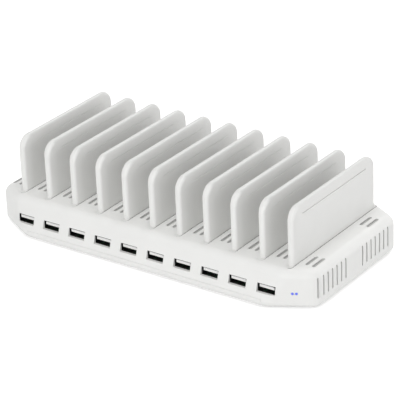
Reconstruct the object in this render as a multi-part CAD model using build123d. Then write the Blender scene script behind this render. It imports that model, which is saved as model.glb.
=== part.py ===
from build123d import *
import math
import os

# Desktop charging stand: a low housing with a row of sockets along its leaning front wall, upright
# dividers that push into slots in its top, and the mains supply and socket board inside.
# Frame: X along the row of sockets, Y to the back, Z up, origin under the middle of the feet.

# Row of bays
socket_count = 10
bay_pitch = 21.5
end_margin = 19.64

# Housing
base_depth = 128.1
base_height = 25.75
foot_height = 1.2
facet_run_x = 31.3
facet_run_y = 17.6
back_facet_run_x = 27.3
back_facet_run_y = 15.3
front_lean = 8.2
wall = 2.0
plate = 2.0
side_corner_radius = 8.0
front_corner_radius = 14.0
top_edge_radius = 7.0
bottom_edge_radius = 3.4
fit_gap = 0.15
lip_corner_gap = 1.4
lip_height = 4.95
cut_spare = 2.0

# Dividers and the seats that hold them
divider_thickness = 4.8
divider_front_margin = 16.3
divider_back_margin = 13.1
divider_height = 39.1
divider_corner_radius = 9.2
divider_edge_radius = 2.0
foot_strip_overhang = 3.2
seat_depth = 1.2
seat_left_gap = 0.1
seat_right_gap = 0.4
seat_end_gap = 0.2
tongue_thickness = 2.4
tongue_end_margin = 10.3
tongue_depth = 3.4
score_drop = 6.7
score_width = 0.6
score_depth = 0.5
score_end_margin = 11.1

# Vents in the top and louvres in the ends
vent_width = 2.6
vent_length = 13.6
vent_throat = 1.1
vent_ramp_depth = 0.5
vent_spacing = 5.0
vent_shift = -0.4
vent_front_margin = 12.8
vent_back_margin = 20.6
louvre_width = 1.5
louvre_height = 14.3
louvre_count = 7
louvre_group_gap = 20.3
louvre_front_margin = 1.4
louvre_back_margin = 10.1
louvre_drop = 11.9

# Sockets
socket_rise = 11.68
shell_width = 13.1
shell_height = 5.6
shell_depth = 14.0
shell_wall = 0.3
shell_edge_radius = 0.6
window_gap = 0.1
nose_setback = 0.35
spring_width = 1.6
spring_length = 5.0
spring_thickness = 0.25
spring_rise = 0.7
spring_tip_rise = 0.3
spring_pitch = 5.0
spring_setback = 1.4
spring_gap = 0.3
blade_width = 11.1
blade_thickness = 1.84
blade_roof_gap = 0.64
blade_setback = 0.6
block_depth = 4.0
contact_width = 1.0
contact_thickness = 0.25
contact_length = 7.0
contact_setback = 1.2
contact_offsets = (-3.5, -1.0, 1.0, 3.5)

# Circuit boards
board_thickness = 1.6
usb_board_side_gap = 14.2
usb_board_reach = 32.8
usb_board_front_gap = 2.6
board_overlap = 4.0
power_board_width = 176.0
power_board_back_gap = 6.8
power_board_lift = 2.0
board_boss_diameter = 6.0
board_edge_gap = 0.8
link_length = 40.0
link_depth = 3.0

# Screws, bosses and feet
screw_shank_diameter = 2.9
screw_hole_gap = 0.05
screw_clear_gap = 0.3
screw_head_diameter = 5.6
screw_head_height = 1.6
screw_head_gap = 0.3
screw_head_edge_radius = 0.5
screw_grip = 9.0
screw_end_gap = 0.3
boss_diameter = 7.0
pad_diameter = 9.4
pad_height = 4.2
end_boss_inset = 10.5
end_boss_back_inset = 22.8
back_boss_inset = 10.0
middle_boss_x = -10.75
back_boss_side_inset = 12.75
board_screw_shank_diameter = 2.0
board_screw_head_diameter = 4.2
board_screw_head_height = 1.4
board_screw_grip = 1.5
usb_screw_inset = 9.0
power_screw_side_inset = 5.0
power_screw_front_inset = 7.5
power_screw_back_inset = 7.0
recess_width = 0.7
recess_depth = 0.8
recess_share = 0.56
foot_diameter = 13.0
foot_recess = 0.8
foot_edge_radius = 0.4
foot_inset_x = 35.14
foot_inset_y = 19.05

# Mains inlet in the back wall
inlet_side_margin = 26.0
inlet_body_width = 24.0
inlet_body_height = 12.0
inlet_body_depth = 17.0
inlet_corner_radius = 3.0
inlet_lobe_diameter = 9.0
inlet_waist_height = 7.2
inlet_pole_pitch = 8.6
inlet_cavity_depth = 12.0
inlet_pin_diameter = 2.4
inlet_pin_length = 9.0

# Status light behind the right front facet
light_run = 18.25
light_rise = 10.35
light_pitch = 2.5
light_diameter = 1.7
light_block_length = 6.0
light_block_depth = 2.0
light_block_height = 3.4
led_size = 2.4

# Parts of the mains supply
winding_width = 21.6
winding_length = 17.4
winding_height = 12.6
winding_corner_radius = 2.0
core_width = 32.0
core_length = 28.0
core_thickness = 8.0
core_leg = 10.0
core_gap = 0.2
bulk_diameter = 12.5
bulk_length = 30.0
bulk_pitch = 16.0
output_cap_diameter = 8.0
output_cap_height = 11.0
output_cap_pitch = 12.0
output_cap_count = 4
can_rim_radius = 0.6
can_neck_rise = 2.2
can_neck_radius = 0.5
choke_outer_diameter = 18.0
choke_inner_diameter = 8.0
choke_height = 9.0
choke_edge_radius = 2.0
fin_thickness = 1.6
fin_height = 12.0
fin_pitch = 5.0
fin_count = 4
primary_sink_length = 36.0
secondary_sink_length = 44.0
chip_width = 10.0
chip_thickness = 4.5
chip_height = 8.0
tab_thickness = 1.3
tab_height = 12.4
tab_hole_diameter = 2.4
tab_hole_drop = 2.2
bridge_width = 15.0
bridge_thickness = 3.6
bridge_height = 11.0
bridge_chamfer = 1.5
fuse_tube_diameter = 4.6
fuse_cap_diameter = 5.2
fuse_cap_length = 5.0
fuse_length = 20.0
film_cap_width = 18.0
film_cap_thickness = 8.0
film_cap_height = 12.0
film_cap_radius = 1.0

# Places on the supply's board: X from its middle, then the distance in from its back edge
transformer_place = (16.0, 45.0)
bulk_place = (-22.0, 47.0)
choke_place = (-46.0, 30.0)
primary_sink_place = (-14.0, 17.0)
secondary_sink_place = (58.0, 35.0)
output_row_place = (60.0, 65.0)
bridge_place = (-52.0, 49.0)
fuse_place = (-80.0, 29.0)
film_cap_place = (-72.0, 47.0)

# Derived levels
base_bottom = foot_height
base_top = base_bottom + base_height
plate_top = base_bottom + plate
ceiling = base_top - wall
lip_top = base_bottom + lip_height
pad_top = base_bottom + pad_height
seat_floor = base_top - seat_depth
socket_z = base_bottom + socket_rise
light_z = base_bottom + light_rise
usb_board_top = socket_z - shell_height / 2
usb_board_bottom = usb_board_top - board_thickness
power_board_bottom = plate_top + power_board_lift
power_board_top = power_board_bottom + board_thickness

# Derived sizes
base_width = socket_count * bay_pitch + 2 * end_margin
half_width = base_width / 2
half_depth = base_depth / 2
half_row = (socket_count - 1) * bay_pitch / 2
lip_width = base_width - 2 * (facet_run_x + lip_corner_gap)
divider_length = base_depth - divider_front_margin - divider_back_margin
tongue_length = divider_length - 2 * tongue_end_margin
score_length = divider_length - 2 * score_end_margin
usb_board_width = base_width - 2 * usb_board_side_gap
foot_strip_length = divider_length + 2 * foot_strip_overhang
sink_width = (fin_count - 1) * fin_pitch + fin_thickness
lean_angle = math.atan2(front_lean, base_height)
facet_angle = math.atan2(facet_run_y, facet_run_x)
end_wall_length = base_depth - facet_run_y - back_facet_run_y
louvre_field = end_wall_length - louvre_front_margin - louvre_back_margin
louvre_group = (louvre_field - louvre_group_gap) / 2
louvre_spacing = louvre_group / (louvre_count - 1)

# Derived places
socket_xs = [index * bay_pitch - half_row for index in range(socket_count)]
divider_xs = [x - bay_pitch / 2 for x in socket_xs] + [socket_xs[-1] + bay_pitch / 2]
vent_xs = [divider_xs[0] - bay_pitch / 2] + socket_xs + [divider_xs[-1] + bay_pitch / 2]
divider_front = divider_front_margin - half_depth
divider_back = half_depth - divider_back_margin
divider_y = (divider_front + divider_back) / 2
vent_ys = (divider_front + vent_front_margin, divider_back - vent_back_margin)
louvre_front = facet_run_y + louvre_front_margin - half_depth
louvre_ys = [
    louvre_front + group_number * (louvre_group + louvre_group_gap) + index * louvre_spacing
    for group_number in (0, 1)
    for index in range(louvre_count)
]
light_x = half_width - facet_run_x + light_run
light_y = light_run * facet_run_y / facet_run_x - half_depth
usb_board_back = usb_board_reach - half_depth
power_board_front = usb_board_back - board_overlap
power_board_back = half_depth - power_board_back_gap
inlet_x = inlet_side_margin - power_board_width / 2
end_boss_ys = (louvre_front + louvre_field / 2, half_depth - end_boss_back_inset)
boss_places = [(side * (half_width - end_boss_inset), y) for side in (-1, 1) for y in end_boss_ys]
back_boss_xs = (middle_boss_x, power_board_width / 2 - back_boss_side_inset)
boss_places += [(x, half_depth - back_boss_inset) for x in back_boss_xs]
foot_places = [
    (side * (half_width - foot_inset_x), end * (half_depth - foot_inset_y))
    for side in (-1, 1)
    for end in (-1, 1)
]
usb_screw_xs = (divider_xs[1], 0.0, divider_xs[-2])
usb_screw_places = [(x, usb_board_back - usb_screw_inset) for x in usb_screw_xs]
power_screw_x = power_board_width / 2 - power_screw_side_inset
power_screw_ys = (power_board_front + power_screw_front_inset, power_board_back - power_screw_back_inset)
power_screw_places = [(side * power_screw_x, y) for side in (-1, 1) for y in power_screw_ys]


def front_y(z, inset=0.0):
    """Y of the leaning front wall at a height, moved in by an inset."""
    return -half_depth + front_lean * (z - base_bottom) / base_height + inset / math.cos(lean_angle)


def block(width, depth, height, x, y, low):
    """Box centred on x and y that stands on a level."""
    return Pos(x, y, low + height / 2) * Box(width, depth, height)


def post(diameter, height, x, y, low):
    """Round post that stands on a level."""
    return Pos(x, y, low + height / 2) * Cylinder(diameter / 2, height)


def bore(diameter, low, high, x, y):
    """Round cutter between two levels."""
    return post(diameter, high - low, x, y, low)


def united(pieces):
    """Pieces fused into one shape."""
    first, *others = pieces
    return first + others if others else first


def group(pieces):
    """Separate solids kept together in one node."""
    return Compound(children=list(pieces))


def on_board(place):
    """X and Y of a place on the supply's board."""
    x, inset = place
    return x, power_board_back - inset


def housing_plan(inset):
    """Rectangle with faceted corners, drawn past the front wall so that the lean trims it."""
    spare = 2 * wall
    spare_x = spare * facet_run_x / facet_run_y
    right = [
        (half_width - facet_run_x - spare_x, -half_depth - spare),
        (half_width, -half_depth + facet_run_y),
        (half_width, half_depth - back_facet_run_y),
        (half_width - back_facet_run_x, half_depth),
    ]
    left = [(-x, y) for x, y in reversed(right)]
    face = make_face(Polyline(*right, *left, close=True))
    return offset(face, amount=-inset, kind=Kind.INTERSECTION) if inset else face


def housing_block(inset, low, high):
    """Solid of the housing's plan between two levels, trimmed by the leaning front wall."""
    body = Pos(0, 0, low) * extrude(housing_plan(inset), high - low)
    under = low - cut_spare
    over = high + cut_spare
    ahead = -half_depth - base_depth
    wedge = make_face(
        Polyline(
            (front_y(under, inset), under),
            (front_y(over, inset), over),
            (ahead, over),
            (ahead, under),
            close=True,
        )
    )
    return body - extrude(Plane.YZ * wedge, base_width, both=True)


def upright_edges(body, near_side):
    """The corner edges beside the end walls, or those beside the front and back walls."""
    span = body.bounding_box().size.Z
    uprights = [edge for edge in body.edges() if abs((edge @ 0).Z - (edge @ 1).Z) > span / 2]
    middle = half_width - facet_run_x / 2
    return [edge for edge in uprights if (abs(edge.center().X) > middle) == near_side]


def cornered_block(inset, low, high):
    """Housing block with its upright corners rounded, all moved in by an inset."""
    body = housing_block(inset, low, high)
    body = fillet(upright_edges(body, False), front_corner_radius - inset)
    return fillet(upright_edges(body, True), side_corner_radius - inset)


def soft_block(inset, low, high):
    """The same block with its upper edge rounded as well."""
    body = cornered_block(inset, low, high)
    return fillet(body.faces().sort_by(Axis.Z)[-1].edges(), top_edge_radius - inset)


def housing_skin():
    """Outer form of the closed housing, with soft corners and edges."""
    body = soft_block(0, base_bottom, base_top)
    return fillet(body.faces().sort_by(Axis.Z)[0].edges(), bottom_edge_radius)


def housing_shell():
    """Open-bottomed shell of even thickness, before any opening is cut."""
    return housing_skin() - soft_block(wall, base_bottom - cut_spare, ceiling)


def lip_zone(gap):
    """Space of the long strip under the sockets where the lower cover shows in the front wall."""
    low = base_bottom - cut_spare
    depth = 2 * (wall + cut_spare) + front_lean
    return block(lip_width - 2 * gap, depth, lip_top - gap - low, 0, front_y(lip_top), low)


def upright_slot(length, width, low, high):
    """Round-ended slot along Y, cut between two levels."""
    outline = Rot(0, 0, 90) * SlotOverall(length, width)
    return Pos(0, 0, low) * extrude(outline, high - low)


def vent_cut():
    """One vent: a ramp sinks from its right edge to a narrow throat along its left edge."""
    over = base_top + cut_spare
    ramp_low = base_top - vent_ramp_depth
    left = -vent_width / 2
    above_ramp = make_face(
        Polyline(
            (left, ramp_low),
            (left + vent_throat, ramp_low),
            (-left, base_top),
            (-left, over),
            (left, over),
            close=True,
        )
    )
    mouth = upright_slot(vent_length, vent_width, ramp_low, over)
    mouth &= extrude(Plane.XZ * above_ramp, vent_length, both=True)
    throat_length = vent_length - vent_width + vent_throat
    throat = upright_slot(throat_length, vent_throat, ceiling - cut_spare, over)
    return mouth + Pos(left + vent_throat / 2, 0, 0) * throat


def vent_cuts():
    """Pairs of short vents at the front and back of every bay and outside the end dividers."""
    vent = vent_cut()
    return [
        Pos(x + vent_shift + side * vent_spacing / 2, y, 0) * vent
        for x in vent_xs
        for side in (-1, 1)
        for y in vent_ys
    ]


def seat_cuts():
    """Shallow seats in the top, each with a narrow slot through it for a divider's tongue."""
    width = divider_thickness + seat_left_gap + seat_right_gap
    length = foot_strip_length + 2 * seat_end_gap
    seat = upright_slot(length, width, seat_floor, base_top + cut_spare)
    shift = (seat_right_gap - seat_left_gap) / 2
    throat_width = tongue_thickness + 2 * fit_gap
    throat_length = tongue_length + 2 * fit_gap
    low = ceiling - cut_spare
    throat = block(throat_width, throat_length, wall + 2 * cut_spare, 0, 0, low)
    cuts = [Pos(x + shift, divider_y, 0) * seat for x in divider_xs]
    return cuts + [Pos(x, divider_y, 0) * throat for x in divider_xs]


def louvre_cuts():
    """Two groups of upright slots through each end wall."""
    slot = Rot(0, 0, 90) * SlotOverall(louvre_height, louvre_width)
    slots = Sketch(children=[Pos(y, base_top - louvre_drop) * slot for y in louvre_ys])
    return extrude(Plane.YZ * slots, base_width, both=True)


def window_cuts():
    """One opening for each socket in the front wall."""
    width = shell_width + 2 * window_gap
    height = shell_height + 2 * window_gap
    depth = 2 * (wall + cut_spare) + front_lean
    return [Pos(x, front_y(socket_z), socket_z) * Box(width, depth, height) for x in socket_xs]


def light_frame():
    """Frame on the facet's outer face: X outwards, Y along the facet."""
    turn = math.degrees(facet_angle) - 90
    return Pos(light_x, light_y, light_z) * Rot(0, 0, turn)


def light_prongs(diameter, length, proud=0.0):
    """Two round prongs through the facet, from an end near its outer face inwards."""
    prong = Pos(proud - length / 2, 0, 0) * Rot(0, 90, 0) * Cylinder(diameter / 2, length)
    return [light_frame() * Pos(0, side * light_pitch / 2, 0) * prong for side in (-1, 1)]


def inlet_outline(gap):
    """Rounded outline of the inlet's body, grown by a gap."""
    width = inlet_body_width + 2 * gap
    height = inlet_body_height + 2 * gap
    return RectangleRounded(width, height, inlet_corner_radius + gap)


def inlet_solid(outline, start, end):
    """An outline on the back wall, swept inwards between two depths."""
    middle = Pos(inlet_x, half_depth, power_board_top + inlet_body_height / 2)
    return middle * Pos(0, -start, 0) * Rot(90, 0, 0) * extrude(outline, end - start)


def top_cover():
    """Upper shell with all its openings, and the bosses that take the housing screws."""
    light_length = wall + 2 * cut_spare
    cuts = seat_cuts() + window_cuts()
    cuts += light_prongs(light_diameter + 2 * fit_gap, light_length, cut_spare)
    cuts += vent_cuts() + [louvre_cuts(), lip_zone(0)]
    cuts += [inlet_solid(inlet_outline(fit_gap), -cut_spare, wall + cut_spare)]
    cover = housing_shell() - cuts
    hole = screw_shank_diameter + 2 * screw_hole_gap
    for x, y in boss_places:
        cover += bore(boss_diameter, pad_top, base_top - wall / 2, x, y)
        cover -= bore(hole, pad_top - cut_spare, pad_top + screw_grip, x, y)
    return cover


def board_boss(x, y, top):
    """Post on the floor plate that carries a board, with its foot sunk into the plate."""
    return bore(board_boss_diameter, plate_top - plate / 2, top, x, y)


def board_screw_hole(x, y, top):
    """Blind hole for a board screw, down from a level."""
    hole = board_screw_shank_diameter + 2 * screw_hole_gap
    return bore(hole, top - board_screw_grip - fit_gap, top, x, y)


def bottom_cover():
    """Floor plate with its front lip, screw pads, board bosses and foot recesses."""
    board_points = [(x, y, usb_board_bottom) for x, y in usb_screw_places]
    board_points += [(x, y, power_board_bottom) for x, y in power_screw_places]
    lip = housing_shell() & lip_zone(fit_gap)
    step_width = lip_width - 2 * fit_gap
    step = block(step_width, 2 * wall, plate, 0, front_y(base_bottom, wall), base_bottom)
    floor_plate = cornered_block(wall + fit_gap, base_bottom, ceiling)
    floor_plate &= block(base_width, base_depth, plate, 0, 0, base_bottom)
    cover = floor_plate + (step & housing_skin()) + lip
    cover += [post(pad_diameter, pad_height, x, y, base_bottom) for x, y in boss_places]
    cover += [board_boss(x, y, top) for x, y, top in board_points]
    under = base_bottom - cut_spare
    seat = base_bottom + screw_head_gap + screw_head_height
    cuts = []
    for x, y in foot_places:
        cuts.append(bore(foot_diameter + 2 * fit_gap, under, base_bottom + foot_recess, x, y))
    for x, y in boss_places:
        cuts.append(bore(screw_shank_diameter + 2 * screw_clear_gap, under, pad_top + cut_spare, x, y))
        cuts.append(bore(screw_head_diameter + 2 * screw_head_gap, under, seat, x, y))
    cuts += [board_screw_hole(x, y, top) for x, y, top in board_points]
    return cover - cuts


def divider(x):
    """Upright plate with rounded edges and a scored line, on a flush foot strip with a tongue."""
    outline = Pos(0, divider_height / 2) * Rectangle(divider_length, divider_height)
    outline = fillet(outline.vertices().sort_by(Axis.Y)[-2:], divider_corner_radius)
    body = extrude(Plane.YZ * outline, divider_thickness / 2, both=True)
    flat_edges = [edge for edge in body.edges() if abs(edge.center().X) > divider_thickness / 4]
    rim = [edge for edge in flat_edges if edge.center().Z > divider_edge_radius]
    body = fillet(rim, divider_edge_radius)
    score = Box(2 * score_depth, score_length, score_width)
    score_z = divider_height - score_drop
    body -= [Pos(side * divider_thickness / 2, 0, score_z) * score for side in (-1, 1)]
    body += upright_slot(foot_strip_length, divider_thickness, -seat_depth, 0)
    tongue_low = -seat_depth - tongue_depth
    body += block(tongue_thickness, tongue_length, tongue_depth, 0, 0, tongue_low)
    return Pos(x, divider_y, base_top) * body


def nose_y():
    """Front end of the socket shells, just inside the window's upper edge."""
    return front_y(socket_z + shell_height / 2) + nose_setback


def shell_floor():
    """Inner floor of the socket shells."""
    return socket_z - shell_height / 2 + shell_wall


def spring_leaf(x):
    """Bent leaf that rises from a shell's floor and presses on the plug."""
    front = nose_y() + spring_setback
    crest = front + spring_length / 3
    back = front + spring_length
    root = back + spring_gap
    profile = Polyline(
        (root, 0),
        (crest, spring_rise),
        (front, spring_tip_rise),
        (front, spring_tip_rise - spring_thickness),
        (crest, spring_rise - spring_thickness),
        (back, -shell_wall),
        (root, -shell_wall),
        close=True,
    )
    leaf = extrude(Plane.YZ * make_face(profile), spring_width / 2, both=True)
    return Pos(x, 0, shell_floor()) * leaf


def spring_opening(x):
    """Opening in a shell's floor around a spring leaf."""
    front = nose_y() + spring_setback - spring_gap
    length = spring_length + spring_gap
    width = spring_width + 2 * spring_gap
    return block(width, length, 3 * shell_wall, x, front + length / 2, shell_floor() - 2 * shell_wall)


def usb_shell(x):
    """Folded metal shell, open at the front and closed at the back, with two spring leaves."""
    inner_width = shell_width - 2 * shell_wall
    inner_height = shell_height - 2 * shell_wall
    outer = extrude(RectangleRounded(shell_width, shell_height, shell_edge_radius), shell_depth)
    inner = extrude(
        RectangleRounded(inner_width, inner_height, shell_edge_radius - shell_wall), shell_depth
    )
    shell = outer - Pos(0, 0, shell_wall) * inner
    shell = Pos(x, nose_y() + shell_depth, socket_z) * Rot(90, 0, 0) * shell
    spring_xs = [x + side * spring_pitch / 2 for side in (-1, 1)]
    shell -= [spring_opening(spring_x) for spring_x in spring_xs]
    return shell + [spring_leaf(spring_x) for spring_x in spring_xs]


def blade_bottom():
    """Underside of the socket's tongue, where the contacts lie."""
    return socket_z + shell_height / 2 - shell_wall - blade_roof_gap - blade_thickness


def usb_tongue(x):
    """Moulded block at the back of a socket, with the tongue that carries the contacts."""
    back = nose_y() + shell_depth - shell_wall
    length = back - nose_y() - blade_setback
    height = shell_height - 2 * (shell_wall + fit_gap)
    width = shell_width - 2 * (shell_wall + fit_gap)
    body = block(width, block_depth, height, x, back - block_depth / 2, socket_z - height / 2)
    return body + block(blade_width, length, blade_thickness, x, back - length / 2, blade_bottom())


def usb_contacts():
    """Four contact strips under the tongue of every socket."""
    middle = nose_y() + contact_setback + contact_length / 2
    low = blade_bottom() - contact_thickness
    return group(
        block(contact_width, contact_length, contact_thickness, x + shift, middle, low)
        for x in socket_xs
        for shift in contact_offsets
    )


def board_holes(places, diameter, bottom):
    """Holes through a board at a list of places."""
    top = bottom + board_thickness
    return [bore(diameter, bottom - cut_spare, top + cut_spare, x, y) for x, y in places]


def usb_board():
    """Board under the sockets, trimmed to the housing at its front corners."""
    front = front_y(usb_board_bottom, wall) + usb_board_front_gap
    depth = usb_board_back - front
    board = block(usb_board_width, depth, board_thickness, 0, front + depth / 2, usb_board_bottom)
    board &= housing_block(wall + usb_board_front_gap, usb_board_bottom, usb_board_top)
    hole = board_screw_shank_diameter + 2 * fit_gap
    return board - board_holes(usb_screw_places, hole, usb_board_bottom)


def power_board():
    """Board of the mains supply, lying on its bosses, with passages for the housing's bosses."""
    depth = power_board_back - power_board_front
    middle = power_board_front + depth / 2
    board = block(power_board_width, depth, board_thickness, 0, middle, power_board_bottom)
    hole = board_screw_shank_diameter + 2 * fit_gap
    passage = pad_diameter + 2 * board_edge_gap
    cuts = board_holes(power_screw_places, hole, power_board_bottom)
    return board - (cuts + board_holes(boss_places, passage, power_board_bottom))


def board_link():
    """Header that joins the two boards where they overlap."""
    middle = (usb_board_back + power_board_front) / 2
    height = usb_board_bottom - power_board_top
    return block(link_length, link_depth, height, 0, middle, power_board_top)


def screw(head_diameter, head_height, shank_diameter, length):
    """Pan-head screw with a cross recess, head up, its bearing face at zero."""
    head = post(head_diameter, head_height, 0, 0, 0)
    head = fillet(head.edges().sort_by(Axis.Z)[-1], screw_head_edge_radius)
    reach = recess_share * head_diameter
    low = head_height - recess_depth
    bars = [
        block(width, depth, recess_depth + cut_spare, 0, 0, low)
        for width, depth in ((reach, recess_width), (recess_width, reach))
    ]
    return head - bars + post(shank_diameter, length, 0, 0, -length)


def housing_screws():
    """Screws up through the floor plate into the bosses of the upper shell."""
    seat = base_bottom + screw_head_gap + screw_head_height
    length = pad_top - seat + screw_grip - screw_end_gap
    one = screw(screw_head_diameter, screw_head_height, screw_shank_diameter, length)
    return group(Pos(x, y, seat) * Rot(180, 0, 0) * one for x, y in boss_places)


def board_screws():
    """Screws down through both boards into the floor plate's bosses."""
    length = board_thickness + board_screw_grip
    one = screw(board_screw_head_diameter, board_screw_head_height, board_screw_shank_diameter, length)
    places = [(x, y, usb_board_top) for x, y in usb_screw_places]
    places += [(x, y, power_board_top) for x, y in power_screw_places]
    return group(Pos(*place) * one for place in places)


def foot(x, y):
    """Round rubber foot, part of its height let into the floor plate."""
    pad = post(foot_diameter, foot_height + foot_recess, x, y, 0)
    return fillet(pad.edges().sort_by(Axis.Z)[0], foot_edge_radius)


def mains_inlet():
    """Two-pole appliance inlet, flush with the back wall, with a figure-eight cavity."""
    body = inlet_solid(inlet_outline(0), 0, inlet_body_depth)
    half_pitch = inlet_pole_pitch / 2
    lobes = [Pos(side * half_pitch, 0) * Circle(inlet_lobe_diameter / 2) for side in (-1, 1)]
    waist = Rectangle(inlet_pole_pitch, inlet_waist_height)
    return body - inlet_solid(united(lobes + [waist]), -cut_spare, inlet_cavity_depth)


def inlet_pins():
    """Two round pins that stand on the floor of the inlet's cavity."""
    start = inlet_cavity_depth - inlet_pin_length
    pin = inlet_solid(Circle(inlet_pin_diameter / 2), start, inlet_cavity_depth)
    return group(Pos(side * inlet_pole_pitch / 2, 0, 0) * pin for side in (-1, 1))


def light_pipe():
    """Clear block behind the facet with two prongs that show as small dots."""
    middle = wall + fit_gap + light_block_depth / 2
    bar = Box(light_block_depth, light_block_length, light_block_height)
    return united([light_frame() * Pos(-middle, 0, 0) * bar] + light_prongs(light_diameter, middle))


def status_led():
    """Light source on the socket board, right behind the light pipe."""
    back = wall + 2 * fit_gap + light_block_depth
    height = light_z + led_size / 2 - usb_board_top
    drop = usb_board_top + height / 2 - light_z
    return light_frame() * Pos(-back - led_size / 2, 0, drop) * Box(led_size, led_size, height)


def transformer_core():
    """Ferrite core: a frame with a middle leg and two windows."""
    x, y = on_board(transformer_place)
    low = power_board_top + (winding_height - core_thickness) / 2
    window_width = (winding_width - core_leg) / 2 + core_gap
    window_length = winding_length + 2 * core_gap
    shift = (core_leg + window_width) / 2
    profile = Rectangle(core_width, core_length)
    profile -= [Pos(side * shift, 0) * Rectangle(window_width, window_length) for side in (-1, 1)]
    return Pos(x, y, low) * extrude(profile, core_thickness)


def transformer_winding():
    """Wound bobbin around the core's middle leg."""
    x, y = on_board(transformer_place)
    profile = RectangleRounded(winding_width, winding_length, winding_corner_radius)
    coil = Pos(x, y, power_board_top) * extrude(profile, winding_height)
    height = core_thickness + 2 * core_gap
    low = power_board_top + (winding_height - height) / 2
    return coil - block(core_leg + 2 * core_gap, 2 * winding_length, height, x, y, low)


def can(diameter, length):
    """Electrolytic can with rounded rims and a crimped neck, standing on its seal."""
    body = post(diameter, length, 0, 0, 0)
    body = fillet(body.edges().filter_by(GeomType.CIRCLE), can_rim_radius)
    return body - Pos(0, 0, can_neck_rise) * Torus(diameter / 2, can_neck_radius)


def bulk_capacitor(side):
    """One of two large cans that lie side by side along the board."""
    x, y = on_board(bulk_place)
    lying = Rot(0, 90, 0) * Pos(0, 0, -bulk_length / 2) * can(bulk_diameter, bulk_length)
    return Pos(x, y + side * bulk_pitch / 2, power_board_top + bulk_diameter / 2) * lying


def output_capacitors():
    """Row of upright cans at the supply's low-voltage end."""
    x, y = on_board(output_row_place)
    start = x - (output_cap_count - 1) * output_cap_pitch / 2
    one = can(output_cap_diameter, output_cap_height)
    return group(
        Pos(start + index * output_cap_pitch, y, power_board_top) * one for index in range(output_cap_count)
    )


def common_mode_choke():
    """Wound ring that lies flat on the board."""
    x, y = on_board(choke_place)
    ring = extrude(Circle(choke_outer_diameter / 2) - Circle(choke_inner_diameter / 2), choke_height)
    ring = fillet(ring.edges().filter_by(GeomType.CIRCLE), choke_edge_radius)
    return Pos(x, y, power_board_top) * ring


def heat_sink(place, length):
    """Finned aluminium strip with its foot on the board."""
    x, y = on_board(place)
    foot_strip = Pos(0, fin_thickness / 2) * Rectangle(sink_width, fin_thickness)
    first = (fin_thickness - sink_width) / 2
    fins = [
        Pos(first + index * fin_pitch, fin_height / 2) * Rectangle(fin_thickness, fin_height)
        for index in range(fin_count)
    ]
    profile = Plane.YZ * united([foot_strip] + fins)
    return Pos(x, y, power_board_top) * extrude(profile, length / 2, both=True)


def power_device(place):
    """Moulded power device with a metal tab that stands against a heat sink's front fin."""
    x, y = on_board(place)
    front = y - sink_width / 2
    tab_y = front - tab_thickness / 2
    tab = block(chip_width, tab_thickness, tab_height, x, tab_y, power_board_top)
    hole_z = power_board_top + tab_height - tab_hole_drop
    hole = Pos(x, tab_y, hole_z) * Rot(90, 0, 0) * Cylinder(tab_hole_diameter / 2, 2 * tab_thickness)
    body = block(chip_width, chip_thickness, chip_height, x, front - chip_thickness / 2, power_board_top)
    return tab - hole + body


def bridge_rectifier():
    """Flat upright package with one bevelled corner."""
    body = block(bridge_width, bridge_thickness, bridge_height, *on_board(bridge_place), power_board_top)
    return chamfer(body.edges().filter_by(Axis.Z)[0], bridge_chamfer)


def fuse():
    """Tube with two end caps that lies along the board's edge."""
    x, y = on_board(fuse_place)
    shift = (fuse_length - fuse_cap_length) / 2
    tube = Cylinder(fuse_tube_diameter / 2, fuse_length)
    cap = Cylinder(fuse_cap_diameter / 2, fuse_cap_length)
    body = united([tube] + [Pos(0, 0, side * shift) * cap for side in (-1, 1)])
    return Pos(x, y, power_board_top + fuse_cap_diameter / 2) * Rot(90, 0, 0) * body


def film_capacitor():
    """Box-shaped capacitor with rounded corners."""
    x, y = on_board(film_cap_place)
    profile = RectangleRounded(film_cap_width, film_cap_thickness, film_cap_radius)
    return Pos(x, y, power_board_top) * extrude(profile, film_cap_height)


def build_nodes():
    """Every sub-part by its node name."""
    nodes = {"top_cover": top_cover(), "bottom_cover": bottom_cover()}
    for number, x in enumerate(divider_xs, 1):
        nodes[f"divider_{number:02d}"] = divider(x)
    for number, x in enumerate(socket_xs, 1):
        nodes[f"usb_shell_{number:02d}"] = usb_shell(x)
        nodes[f"usb_tongue_{number:02d}"] = usb_tongue(x)
    for number, (x, y) in enumerate(foot_places, 1):
        nodes[f"foot_{number}"] = foot(x, y)
    for number, side in enumerate((-1, 1), 1):
        nodes[f"bulk_capacitor_{number}"] = bulk_capacitor(side)
    nodes["usb_contacts"] = usb_contacts()
    nodes["usb_board"] = usb_board()
    nodes["power_board"] = power_board()
    nodes["board_link"] = board_link()
    nodes["housing_screws"] = housing_screws()
    nodes["board_screws"] = board_screws()
    nodes["mains_inlet"] = mains_inlet()
    nodes["inlet_pins"] = inlet_pins()
    nodes["light_pipe"] = light_pipe()
    nodes["status_led"] = status_led()
    nodes["transformer_core"] = transformer_core()
    nodes["transformer_winding"] = transformer_winding()
    nodes["output_capacitors"] = output_capacitors()
    nodes["common_mode_choke"] = common_mode_choke()
    nodes["primary_heat_sink"] = heat_sink(primary_sink_place, primary_sink_length)
    nodes["secondary_heat_sink"] = heat_sink(secondary_sink_place, secondary_sink_length)
    nodes["switch_transistor"] = power_device(primary_sink_place)
    nodes["output_rectifier"] = power_device(secondary_sink_place)
    nodes["bridge_rectifier"] = bridge_rectifier()
    nodes["fuse"] = fuse()
    nodes["film_capacitor"] = film_capacitor()
    return nodes


os.makedirs("parts", exist_ok=True)
for name, shape in build_nodes().items():
    export_step(shape, f"parts/{name}.step")
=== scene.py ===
import math

import bmesh
import bpy
from mathutils import Matrix, Vector


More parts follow.
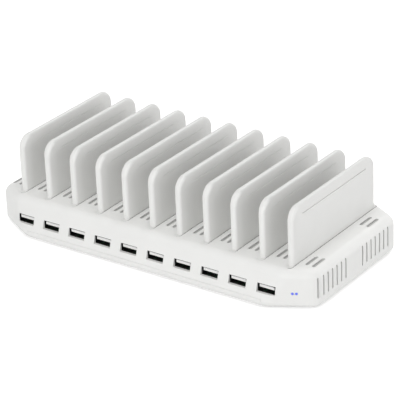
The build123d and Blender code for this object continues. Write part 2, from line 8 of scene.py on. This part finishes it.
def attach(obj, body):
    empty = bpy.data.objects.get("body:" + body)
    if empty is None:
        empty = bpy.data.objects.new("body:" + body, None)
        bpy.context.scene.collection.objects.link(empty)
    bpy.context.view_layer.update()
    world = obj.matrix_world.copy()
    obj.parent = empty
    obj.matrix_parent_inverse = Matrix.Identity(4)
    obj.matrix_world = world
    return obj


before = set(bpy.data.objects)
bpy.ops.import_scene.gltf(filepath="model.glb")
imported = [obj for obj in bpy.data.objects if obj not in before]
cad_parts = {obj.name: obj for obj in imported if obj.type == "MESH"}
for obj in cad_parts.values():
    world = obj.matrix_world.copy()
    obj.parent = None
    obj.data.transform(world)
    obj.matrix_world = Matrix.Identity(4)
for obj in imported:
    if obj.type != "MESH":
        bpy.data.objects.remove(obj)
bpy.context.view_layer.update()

MM = 0.001
WHITE = (1.0, 1.0, 1.0, 1.0)


def node_box(name, decimals=3):
    """Low and high corner of a node in millimetres, rounded to micrometres."""
    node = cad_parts[name]
    points = [node.matrix_world @ vertex.co / MM for vertex in node.data.vertices]
    low = [round(min(point[axis] for point in points), decimals) for axis in range(3)]
    high = [round(max(point[axis] for point in points), decimals) for axis in range(3)]
    return low, high


# Camera of the photograph: where it stands, which way it looks and how long its lens is
EYE = Vector((778.16, -1061.58, 661.01)) * MM
LOOK_AZIMUTH = math.radians(36.07)
LOOK_ELEVATION = math.radians(25.75)
LOOK_ROLL = math.radians(-2.37)
SENSOR_WIDTH = 36.0
LENS = 196.72
NEAREST_SEEN = 0.05
FARTHEST_SEEN = 20.0

# Studio light: an even surround, and soft square lamps by place in metres and power in watts
SKY_LIGHT = 0.39
LAMP_SIZE = 1.2
LAMP_TARGET = Vector((0.0, 0.0, 0.03))
LAMPS = {
    "front_lamp": ((0.2, -1.8, 0.9), 15.5),
    "top_lamp": ((0.0, 0.0, 2.2), 11.4),
    "top_back_lamp": ((0.0, 1.3, 1.7), 6.7),
    "back_lamp": ((0.0, 2.0, 0.6), 3.2),
    "right_back_lamp": ((1.5, 1.4, 0.5), 8.9),
    "right_lamp": ((1.7, -1.0, 0.35), 4.6),
}

# Floor, in metres: its own tone, and how much it is lifted towards white near the object and far from it
FLOOR_SIZE = 6.0
FLOOR_CELLS = 8
FLOOR_DROP = 0.0001
FLOOR_TONE = 0.90
FLOOR_DRIFT = 0.02
FLOOR_DRIFT_SCALE = 3.0
FLOOR_ROUGHNESS = 0.9
FLOOR_GLOSS = 0.1
FLOOR_LIFTS = (0.45, 1.0)
FLOOR_FADE = (0.5, 1.5)

# Places and sizes of the solids that the added pieces fit, in millimetres
DIVIDER_BOXES = [node_box(name) for name in sorted(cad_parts) if name.startswith("divider")]
DIVIDER_XS = [(low[0] + high[0]) / 2 for low, high in DIVIDER_BOXES]
DIVIDER_LOW, DIVIDER_HIGH = DIVIDER_BOXES[0]
DIVIDER_THICKNESS = DIVIDER_HIGH[0] - DIVIDER_LOW[0]
DIVIDER_MIDDLE_Y = (DIVIDER_LOW[1] + DIVIDER_HIGH[1]) / 2
DIVIDER_TOP = DIVIDER_HIGH[2]
DECK_LEVEL = node_box("top_cover")[1][2]
BAY_PITCH = DIVIDER_XS[1] - DIVIDER_XS[0]
FOOT_STRIP_LENGTH = DIVIDER_HIGH[1] - DIVIDER_LOW[1]
FOOT_STRIP_OVERHANG = 3.2
DIVIDER_LENGTH = FOOT_STRIP_LENGTH - 2 * FOOT_STRIP_OVERHANG
SEAT_RIGHT_GAP = 0.4
SEAT_END_GAP = 0.2
SCORE_DROP = 6.7
SCORE_WIDTH = 0.6
SCORE_DEPTH = 0.5
SCORE_END_MARGIN = 11.1
VENT_YS = (-34.95, 30.35)
VENT_SHIFT = -0.4
VENT_SPACING = 5.0
VENT_LENGTH = 13.6
VENT_WIDTH = 2.6
VENT_THROAT = 1.1
VENT_RAMP_DEPTH = 0.5

# Sizes of the added pieces, in millimetres
ARC_STEPS = 6
SKIN_GAP = 0.02
# Dark strips of painted shade beside the dividers' feet: how far their top sits below the deck, and their
# height
SHADE_STRIP_TOP_DROP = 0.12
SHADE_STRIP_HEIGHT = 1.0
LINING_HOLLOW = 0.3
LINING_RUNOUT = 3.0
LINING_GAP = 0.005
# Painted shade in the vents: how deep its skins reach, and how far round the vent ends they run
VENT_SHADE_DEPTH = 0.75
VENT_SHADE_END_SHARE = 0.95

# Finishes: noise scales are per metre, relief heights in metres
NOISE_MIDDLE = (0.3, 0.7)
PLAIN_DETAIL = 1.0
DRIFT_SCALE = 60.0
DRIFT_DETAIL = 3.0
GRAIN_SCALE = 2500.0
GRAIN_DETAIL = 2.0
GRAIN_HEIGHT = 0.05 * MM
GRAIN_RELIEF = 0.05
WARM_BLUE = 0.982
# Painted shade in the vents: its grey at the deepest point and at the deck, and its roughness
VENT_SHADE_TONES = (0.27, 0.56)
VENT_SHADE_ROUGHNESS = 0.6
GUIDE_GLOW = 0.35
GUIDE_GLOW_SCALE = 900.0
GUIDE_ROUGHNESS = 0.3

# Turns of the dividers' shading: between which depths behind a rim, in millimetres, and how far towards it
TOP_TURNS = ((2.2, 0.4, -0.7), (10.0, 2.0, 0.2))
END_TURNS = ((2.2, 0.4, -0.27), (9.0, 2.0, 0.25))

# Which finish each group of nodes takes, by the start of its name
FINISH_OF = {
    "top_cover": "cover_plastic",
    "bottom_cover": "cover_plastic",
    "divider": "divider_plastic",
    "usb_shell": "socket_shell",
    "usb_tongue": "tongue_plastic",
    "usb_contacts": "gold_contact",
    "usb_board": "circuit_board",
    "power_board": "circuit_board",
    "board_link": "black_plastic",
    "housing_screws": "screw_steel",
    "board_screws": "screw_steel",
    "mains_inlet": "black_plastic",
    "inlet_pins": "pin_metal",
    "light_pipe": "light_guide",
    "status_led": "led",
    "transformer_core": "ferrite",
    "transformer_winding": "winding_tape",
    "bulk_capacitor": "capacitor_can",
    "output_capacitors": "capacitor_can",
    "common_mode_choke": "winding_tape",
    "primary_heat_sink": "sink_aluminium",
    "secondary_heat_sink": "sink_aluminium",
    "switch_transistor": "black_plastic",
    "output_rectifier": "black_plastic",
    "bridge_rectifier": "black_plastic",
    "fuse": "fuse_body",
    "film_capacitor": "film_case",
    "foot": "foot_rubber",
}


def link(tree, source, target):
    """Joins an output socket to an input socket."""
    tree.links.new(source, target)


def new_material(name):
    """Material with only a principled shader and its output."""
    material = bpy.data.materials.new(name)
    material.use_nodes = True
    tree = material.node_tree
    shader = next(node for node in tree.nodes if node.type == "BSDF_PRINCIPLED")
    return material, tree, shader


def object_place(tree):
    """Place on the object, in metres."""
    return tree.nodes.new("ShaderNodeTexCoord").outputs["Object"]


def object_axes(tree):
    """Place on the object along each axis, in metres."""
    axes = tree.nodes.new("ShaderNodeSeparateXYZ")
    link(tree, object_place(tree), axes.inputs["Vector"])
    return axes.outputs


def noise(tree, scale, detail):
    """Noise over the object."""
    texture = tree.nodes.new("ShaderNodeTexNoise")
    texture.inputs["Scale"].default_value = scale
    texture.inputs["Detail"].default_value = detail
    link(tree, object_place(tree), texture.inputs["Vector"])
    return texture.outputs["Fac"]


def ramp(tree, value, source, target):
    """Maps a value from one range to another, held at both ends."""
    node = tree.nodes.new("ShaderNodeMapRange")
    node.inputs["From Min"].default_value = source[0]
    node.inputs["From Max"].default_value = source[1]
    node.inputs["To Min"].default_value = target[0]
    node.inputs["To Max"].default_value = target[1]
    link(tree, value, node.inputs["Value"])
    return node.outputs["Result"]


def combine(tree, operation, one, two):
    """Sum, product or larger of two values."""
    node = tree.nodes.new("ShaderNodeMath")
    node.operation = operation
    link(tree, one, node.inputs[0])
    link(tree, two, node.inputs[1])
    return node.outputs["Value"]


def blend(tree, share, dark, light):
    """Colour between two tones."""
    node = tree.nodes.new("ShaderNodeMix")
    node.data_type = "RGBA"
    link(tree, share, node.inputs["Factor"])
    node.inputs["A"].default_value = (*dark, 1.0)
    node.inputs["B"].default_value = (*light, 1.0)
    return node.outputs["Result"]


def two_tones(tree, value, dark, light):
    """Colour that wanders between two tones with a noise."""
    return blend(tree, ramp(tree, value, NOISE_MIDDLE, (0.0, 1.0)), dark, light)


def bump(tree, value, strength):
    """Fine relief from a noise."""
    node = tree.nodes.new("ShaderNodeBump")
    node.inputs["Strength"].default_value = strength
    node.inputs["Distance"].default_value = GRAIN_HEIGHT
    link(tree, value, node.inputs["Height"])
    return node.outputs["Normal"]


def seen_directly(tree):
    """One where the camera sees a surface itself, in a mirror or through glass, and nought elsewhere."""
    path = tree.nodes.new("ShaderNodeLightPath").outputs
    mirrored = combine(tree, "MAXIMUM", path["Is Camera Ray"], path["Is Glossy Ray"])
    return combine(tree, "MAXIMUM", mirrored, path["Is Transmission Ray"])


def grey(value):
    """Neutral tone."""
    return (value, value, value)


def warm(value):
    """Slightly warm white."""
    return (value, value, value * WARM_BLUE)


def finish(name, dark, light, rough, metal=0.0, grain=GRAIN_SCALE, relief=GRAIN_RELIEF):
    """Moulded or metal finish: a slow drift between two tones, uneven gloss and a fine grain."""
    material, tree, shader = new_material(name)
    drift = noise(tree, DRIFT_SCALE, DRIFT_DETAIL)
    fine = noise(tree, grain, GRAIN_DETAIL)
    link(tree, two_tones(tree, drift, dark, light), shader.inputs["Base Color"])
    link(tree, ramp(tree, fine, NOISE_MIDDLE, rough), shader.inputs["Roughness"])
    link(tree, bump(tree, fine, relief), shader.inputs["Normal"])
    shader.inputs["Metallic"].default_value = metal
    return material


def light_guide():
    """Clear guide whose ends glow blue."""
    material, tree, shader = new_material("light_guide")
    glow = noise(tree, GUIDE_GLOW_SCALE, PLAIN_DETAIL)
    body = two_tones(tree, glow, (0.10, 0.13, 0.52), (0.14, 0.18, 0.62))
    light = two_tones(tree, glow, (0.10, 0.16, 0.80), (0.16, 0.22, 0.95))
    link(tree, body, shader.inputs["Base Color"])
    link(tree, light, shader.inputs["Emission Color"])
    shader.inputs["Emission Strength"].default_value = GUIDE_GLOW
    shader.inputs["Roughness"].default_value = GUIDE_ROUGHNESS
    return material


def rim_turn(tree, place, edge, facing, turns):
    """How far a divider's shading turns towards a rim, by the depth behind that rim."""
    steps = []
    for deep, shallow, amount in turns:
        places = [(edge - facing * depth) * MM for depth in (deep, shallow)]
        steps.append(ramp(tree, place, places, (0.0, facing * amount)))
    return combine(tree, "ADD", *steps)


def soften_rims(material):
    """Turns a divider's shading at its rims: a tighter rounding, and faces that roll gently into it."""
    tree = material.node_tree
    axes = object_axes(tree)
    ends = []
    for facing in (-1, 1):
        end_y = DIVIDER_MIDDLE_Y + facing * DIVIDER_LENGTH / 2
        ends.append(rim_turn(tree, axes["Y"], end_y, facing, END_TURNS))
    turn = tree.nodes.new("ShaderNodeCombineXYZ")
    link(tree, combine(tree, "ADD", *ends), turn.inputs["Y"])
    link(tree, rim_turn(tree, axes["Z"], DIVIDER_TOP, 1, TOP_TURNS), turn.inputs["Z"])
    surface = tree.nodes.new("ShaderNodeNewGeometry")
    turned = tree.nodes.new("ShaderNodeVectorMath")
    link(tree, surface.outputs["Normal"], turned.inputs[0])
    link(tree, turn.outputs["Vector"], turned.inputs[1])
    unit = tree.nodes.new("ShaderNodeVectorMath")
    unit.operation = "NORMALIZE"
    link(tree, turned.outputs["Vector"], unit.inputs[0])
    relief = next(node for node in tree.nodes if node.type == "BUMP")
    link(tree, unit.outputs["Vector"], relief.inputs["Normal"])


def painted_vent_shade_finish():
    """Painted shade for the vents: grey that darkens with depth below the deck."""
    material, tree, shader = new_material("vent_shade_paint")
    levels = ((DECK_LEVEL - VENT_SHADE_DEPTH) * MM, DECK_LEVEL * MM)
    height = ramp(tree, object_axes(tree)["Z"], levels, (0.0, 1.0))
    deep_shade_tone, deck_tone = VENT_SHADE_TONES
    link(tree, blend(tree, height, warm(deep_shade_tone), warm(deck_tone)), shader.inputs["Base Color"])
    shader.inputs["Roughness"].default_value = VENT_SHADE_ROUGHNESS
    return material


def make_finishes():
    """Every finish by its slot: its darker and lighter tone, its roughness and what else sets it apart."""
    looks = {
        "cover_plastic": dict(dark=warm(0.79), light=warm(0.81), rough=(0.42, 0.52)),
        "divider_plastic": dict(dark=warm(0.78), light=warm(0.80), rough=(0.42, 0.52)),
        # The socket shell's near-black tone is painted shade: the steel inside the socket openings is
        # shadowed
        "socket_shell": dict(dark=grey(0.035), light=grey(0.06), rough=(0.35, 0.5), metal=1.0),
        "tongue_plastic": dict(dark=warm(0.80), light=warm(0.84), rough=(0.4, 0.5)),
        "gold_contact": dict(dark=(0.65, 0.45, 0.16), light=(0.75, 0.55, 0.22), rough=(0.2, 0.3), metal=1.0),
        "circuit_board": dict(dark=(0.01, 0.09, 0.03), light=(0.02, 0.14, 0.05), rough=(0.35, 0.5)),
        "black_plastic": dict(dark=grey(0.012), light=grey(0.022), rough=(0.4, 0.55)),
        "screw_steel": dict(dark=grey(0.45), light=grey(0.58), rough=(0.25, 0.38), metal=1.0),
        "pin_metal": dict(dark=grey(0.62), light=grey(0.72), rough=(0.18, 0.28), metal=1.0),
        "led": dict(dark=(0.7, 0.75, 0.85), light=(0.8, 0.85, 0.9), rough=(0.3, 0.4)),
        "ferrite": dict(dark=grey(0.04), light=grey(0.07), rough=(0.6, 0.8), grain=1200.0, relief=0.3),
        "winding_tape": dict(dark=(0.55, 0.36, 0.04), light=(0.65, 0.44, 0.07), rough=(0.35, 0.5)),
        "capacitor_can": dict(dark=(0.02, 0.02, 0.05), light=(0.03, 0.03, 0.08), rough=(0.3, 0.45)),
        "sink_aluminium": dict(dark=grey(0.55), light=grey(0.66), rough=(0.3, 0.45), metal=1.0),
        "fuse_body": dict(dark=(0.45, 0.35, 0.22), light=(0.55, 0.42, 0.28), rough=(0.4, 0.55)),
        "film_case": dict(dark=(0.55, 0.42, 0.06), light=(0.65, 0.5, 0.1), rough=(0.4, 0.5)),
        "foot_rubber": dict(dark=grey(0.03), light=grey(0.045), rough=(0.7, 0.85), relief=0.2),
    }
    finishes = {slot: finish(slot, **look) for slot, look in looks.items()}
    finishes["light_guide"] = light_guide()
    soften_rims(finishes["divider_plastic"])
    return finishes


def finish_name(node_name):
    """Slot of a node, by the longest start that fits its name."""
    starts = [start for start in FINISH_OF if node_name.startswith(start)]
    return FINISH_OF[max(starts, key=len)]


def dress_nodes(finishes):
    """Gives every node its finish and smooth shading."""
    for name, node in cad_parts.items():
        slot = finish_name(name)
        node.data.materials.clear()
        node.data.materials.append(finishes[slot])
        node.data.polygons.foreach_set("use_smooth", [True] * len(node.data.polygons))


def join_rings(shape, rings):
    """Skins a row of vertex rings and closes both ends."""
    for one, two in zip(rings, rings[1:]):
        for index in range(len(one)):
            after = (index + 1) % len(one)
            shape.faces.new((one[index], one[after], two[after], two[index]))
    shape.faces.new(rings[0])
    shape.faces.new(rings[-1])


def new_piece(name, shape, material):
    """Turns a mesh drawn in millimetres into a piece that rides on the housing."""
    bmesh.ops.recalc_face_normals(shape, faces=shape.faces)
    bmesh.ops.scale(shape, vec=(MM, MM, MM), verts=shape.verts)
    mesh = bpy.data.meshes.new(name)
    shape.to_mesh(mesh)
    shape.free()
    mesh.materials.append(material)
    piece = bpy.data.objects.new(name, mesh)
    bpy.context.scene.collection.objects.link(piece)
    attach(piece, "root")


def round_ends():
    """Steps round the front and then the back end of a slot: which end, and the angle from its side."""
    angles = [math.pi / 2 * (1 - step / ARC_STEPS) for step in range(ARC_STEPS + 1)]
    return [(-1, angle) for angle in angles] + [(1, angle) for angle in reversed(angles)]


def shade_strip_ring(shape, x, end, angle):
    """Section of a painted-shade strip at one step round the right half of a divider's foot strip."""
    radius = DIVIDER_THICKNESS / 2
    straight = FOOT_STRIP_LENGTH / 2 - radius
    across = math.cos(angle)
    along = end * math.sin(angle)
    gap = SEAT_END_GAP + (SEAT_RIGHT_GAP - SEAT_END_GAP) * across
    top = DECK_LEVEL - SHADE_STRIP_TOP_DROP
    low = top - SHADE_STRIP_HEIGHT
    inner = radius + SKIN_GAP
    outer = radius + gap - SKIN_GAP
    ring = []
    for reach, z in ((inner, top), (outer, top), (outer, low), (inner, low)):
        y = DIVIDER_MIDDLE_Y + end * straight + reach * along
        ring.append(shape.verts.new((x + reach * across, y, z)))
    return ring


def seat_shade_strips(material):
    """Dark strips of painted shade in the gaps beside the dividers' feet."""
    shape = bmesh.new()
    for x in DIVIDER_XS:
        join_rings(shape, [shade_strip_ring(shape, x, end, angle) for end, angle in round_ends()])
    new_piece("seat_shade_strips", shape, material)


def score_ring(shape, x, y, side, hollow):
    """Section of a lining: a hollow outer face and a flat back against the floor of the scored line."""
    level = DIVIDER_TOP - SCORE_DROP
    half = SCORE_WIDTH / 2 - LINING_GAP
    floor = SCORE_DEPTH - LINING_GAP
    turns = [2 * step / ARC_STEPS - 1 for step in range(ARC_STEPS + 1)]
    section = [(hollow * (1 - turn ** 2), turn * half) for turn in turns]
    section += [(floor, half), (floor, -half)]
    face = DIVIDER_THICKNESS / 2 - LINING_GAP
    return [shape.verts.new((x + side * (face - depth), y, level + rise)) for depth, rise in section]


def score_linings(material):
    """Linings that leave a softer hollow of the scored lines, except on the row's two outer faces."""
    shape = bmesh.new()
    reach = DIVIDER_LENGTH / 2 - SCORE_END_MARGIN - LINING_GAP
    shares = [step / ARC_STEPS for step in range(ARC_STEPS + 1)]
    places = [(LINING_RUNOUT * share - reach, LINING_HOLLOW * share) for share in shares]
    places += [(-along, hollow) for along, hollow in reversed(places)]
    inner_faces = [(x, side) for x in DIVIDER_XS for side in (-1, 1) if side * x < max(DIVIDER_XS)]
    for x, side in inner_faces:
        rings = [score_ring(shape, x, DIVIDER_MIDDLE_Y + along, side, hollow) for along, hollow in places]
        join_rings(shape, rings)
    new_piece("score_linings", shape, material)


def vent_profile():
    """Places across its vent and depths of a painted-shade skin, from the throat's far wall up the ramp."""
    half = VENT_WIDTH / 2
    throat_edge = VENT_THROAT - half
    return [
        (SKIN_GAP - half, VENT_SHADE_DEPTH),
        (throat_edge, VENT_RAMP_DEPTH),
        ((throat_edge + half) / 2, VENT_RAMP_DEPTH / 2),
        (half - SKIN_GAP, SKIN_GAP),
    ]


def vent_ring(shape, x, y, end, angle):
    """Section of a painted-shade skin at one step along its vent, as a thin skin that narrows towards the
    ends.
    """
    half = VENT_WIDTH / 2
    straight = VENT_LENGTH / 2 - half
    share = math.cos(angle * VENT_SHADE_END_SHARE)
    along = end * (straight + half * math.sin(angle * VENT_SHADE_END_SHARE))
    surface = DECK_LEVEL + SKIN_GAP
    upper = [(x + across * share, y + along, surface - depth * share) for across, depth in vent_profile()]
    lower = [(px, py, pz - SKIN_GAP / 2) for px, py, pz in reversed(upper)]
    return [shape.verts.new(point) for point in upper + lower]


def vent_places():
    """Middles of the vents: a front and a back pair in each bay and beyond the two outer dividers."""
    bay_middles = [x - BAY_PITCH / 2 for x in DIVIDER_XS] + [DIVIDER_XS[-1] + BAY_PITCH / 2]
    xs = [x + VENT_SHIFT + side * VENT_SPACING / 2 for x in bay_middles for side in (-1, 1)]
    return [(x, y) for x in xs for y in VENT_YS]


def vent_shade_skins(material):
    """Grey skins of painted shade that line the vents."""
    shape = bmesh.new()
    for x, y in vent_places():
        join_rings(shape, [vent_ring(shape, x, y, end, angle) for end, angle in round_ends()])
    new_piece("vent_shade_skins", shape, material)


def floor_finish():
    """Pale matte finish, lifted to white where it is seen, and more so far from the object."""
    material, tree, shader = new_material("floor")
    shader.inputs["Roughness"].default_value = FLOOR_ROUGHNESS
    shader.inputs["Specular IOR Level"].default_value = FLOOR_GLOSS
    tone = noise(tree, FLOOR_DRIFT_SCALE, PLAIN_DETAIL)
    colour = two_tones(tree, tone, grey(FLOOR_TONE), grey(FLOOR_TONE + FLOOR_DRIFT))
    link(tree, colour, shader.inputs["Base Color"])
    reach = tree.nodes.new("ShaderNodeVectorMath")
    reach.operation = "LENGTH"
    link(tree, object_place(tree), reach.inputs[0])
    fade = ramp(tree, reach.outputs["Value"], FLOOR_FADE, FLOOR_LIFTS)
    lift = combine(tree, "MULTIPLY", fade, seen_directly(tree))
    shader.inputs["Emission Color"].default_value = WHITE
    link(tree, lift, shader.inputs["Emission Strength"])
    return material


def stage_floor():
    """Pale floor that fades to white and keeps the object's soft shadow."""
    mesh = bpy.data.meshes.new("floor")
    shape = bmesh.new()
    bmesh.ops.create_grid(shape, x_segments=FLOOR_CELLS, y_segments=FLOOR_CELLS, size=FLOOR_SIZE / 2)
    shape.to_mesh(mesh)
    shape.free()
    mesh.materials.append(floor_finish())
    floor = bpy.data.objects.new("floor", mesh)
    bpy.context.scene.collection.objects.link(floor)
    floor.location.z = -FLOOR_DROP


def sky():
    """Even white surround, pure white where the camera sees it."""
    world = bpy.data.worlds.new("studio")
    bpy.context.scene.world = world
    world.use_nodes = True
    tree = world.node_tree
    background = next(node for node in tree.nodes if node.type == "BACKGROUND")
    background.inputs["Color"].default_value = WHITE
    level = ramp(tree, seen_directly(tree), (0.0, 1.0), (SKY_LIGHT, 1.0))
    link(tree, level, background.inputs["Strength"])


def lamps():
    """Large soft lamps above and around the object."""
    for name, (place, watts) in LAMPS.items():
        data = bpy.data.lights.new(name, "AREA")
        data.size = LAMP_SIZE
        data.energy = watts
        lamp = bpy.data.objects.new(name, data)
        bpy.context.scene.collection.objects.link(lamp)
        lamp.location = place
        lamp.rotation_euler = (LAMP_TARGET - lamp.location).to_track_quat("-Z", "Y").to_euler()


def camera():
    """The photograph's camera."""
    data = bpy.data.cameras.new("camera")
    data.sensor_width = SENSOR_WIDTH
    data.lens = LENS
    data.clip_start = NEAREST_SEEN
    data.clip_end = FARTHEST_SEEN
    eye = bpy.data.objects.new("camera", data)
    bpy.context.scene.collection.objects.link(eye)
    sin_a, cos_a = math.sin(LOOK_AZIMUTH), math.cos(LOOK_AZIMUTH)
    sin_e, cos_e = math.sin(LOOK_ELEVATION), math.cos(LOOK_ELEVATION)
    right = Vector((cos_a, sin_a, 0.0))
    back = Vector((sin_a * cos_e, -cos_a * cos_e, sin_e))
    up = back.cross(right)
    turned_right = math.cos(LOOK_ROLL) * right + math.sin(LOOK_ROLL) * up
    turned_up = math.cos(LOOK_ROLL) * up - math.sin(LOOK_ROLL) * right
    turn = Matrix((turned_right, turned_up, back)).transposed()
    eye.matrix_world = Matrix.Translation(EYE) @ turn.to_4x4()
    bpy.context.scene.camera = eye


bpy.context.scene.view_settings.view_transform = "Standard"
finishes = make_finishes()
dress_nodes(finishes)
# Black strips in the seat gaps are painted shade
seat_shade_strips(finishes["black_plastic"])
score_linings(finishes["divider_plastic"])
# Grey skins in the vents are painted shade that is darker with depth
vent_shade_skins(painted_vent_shade_finish())
stage_floor()
sky()
lamps()
camera()
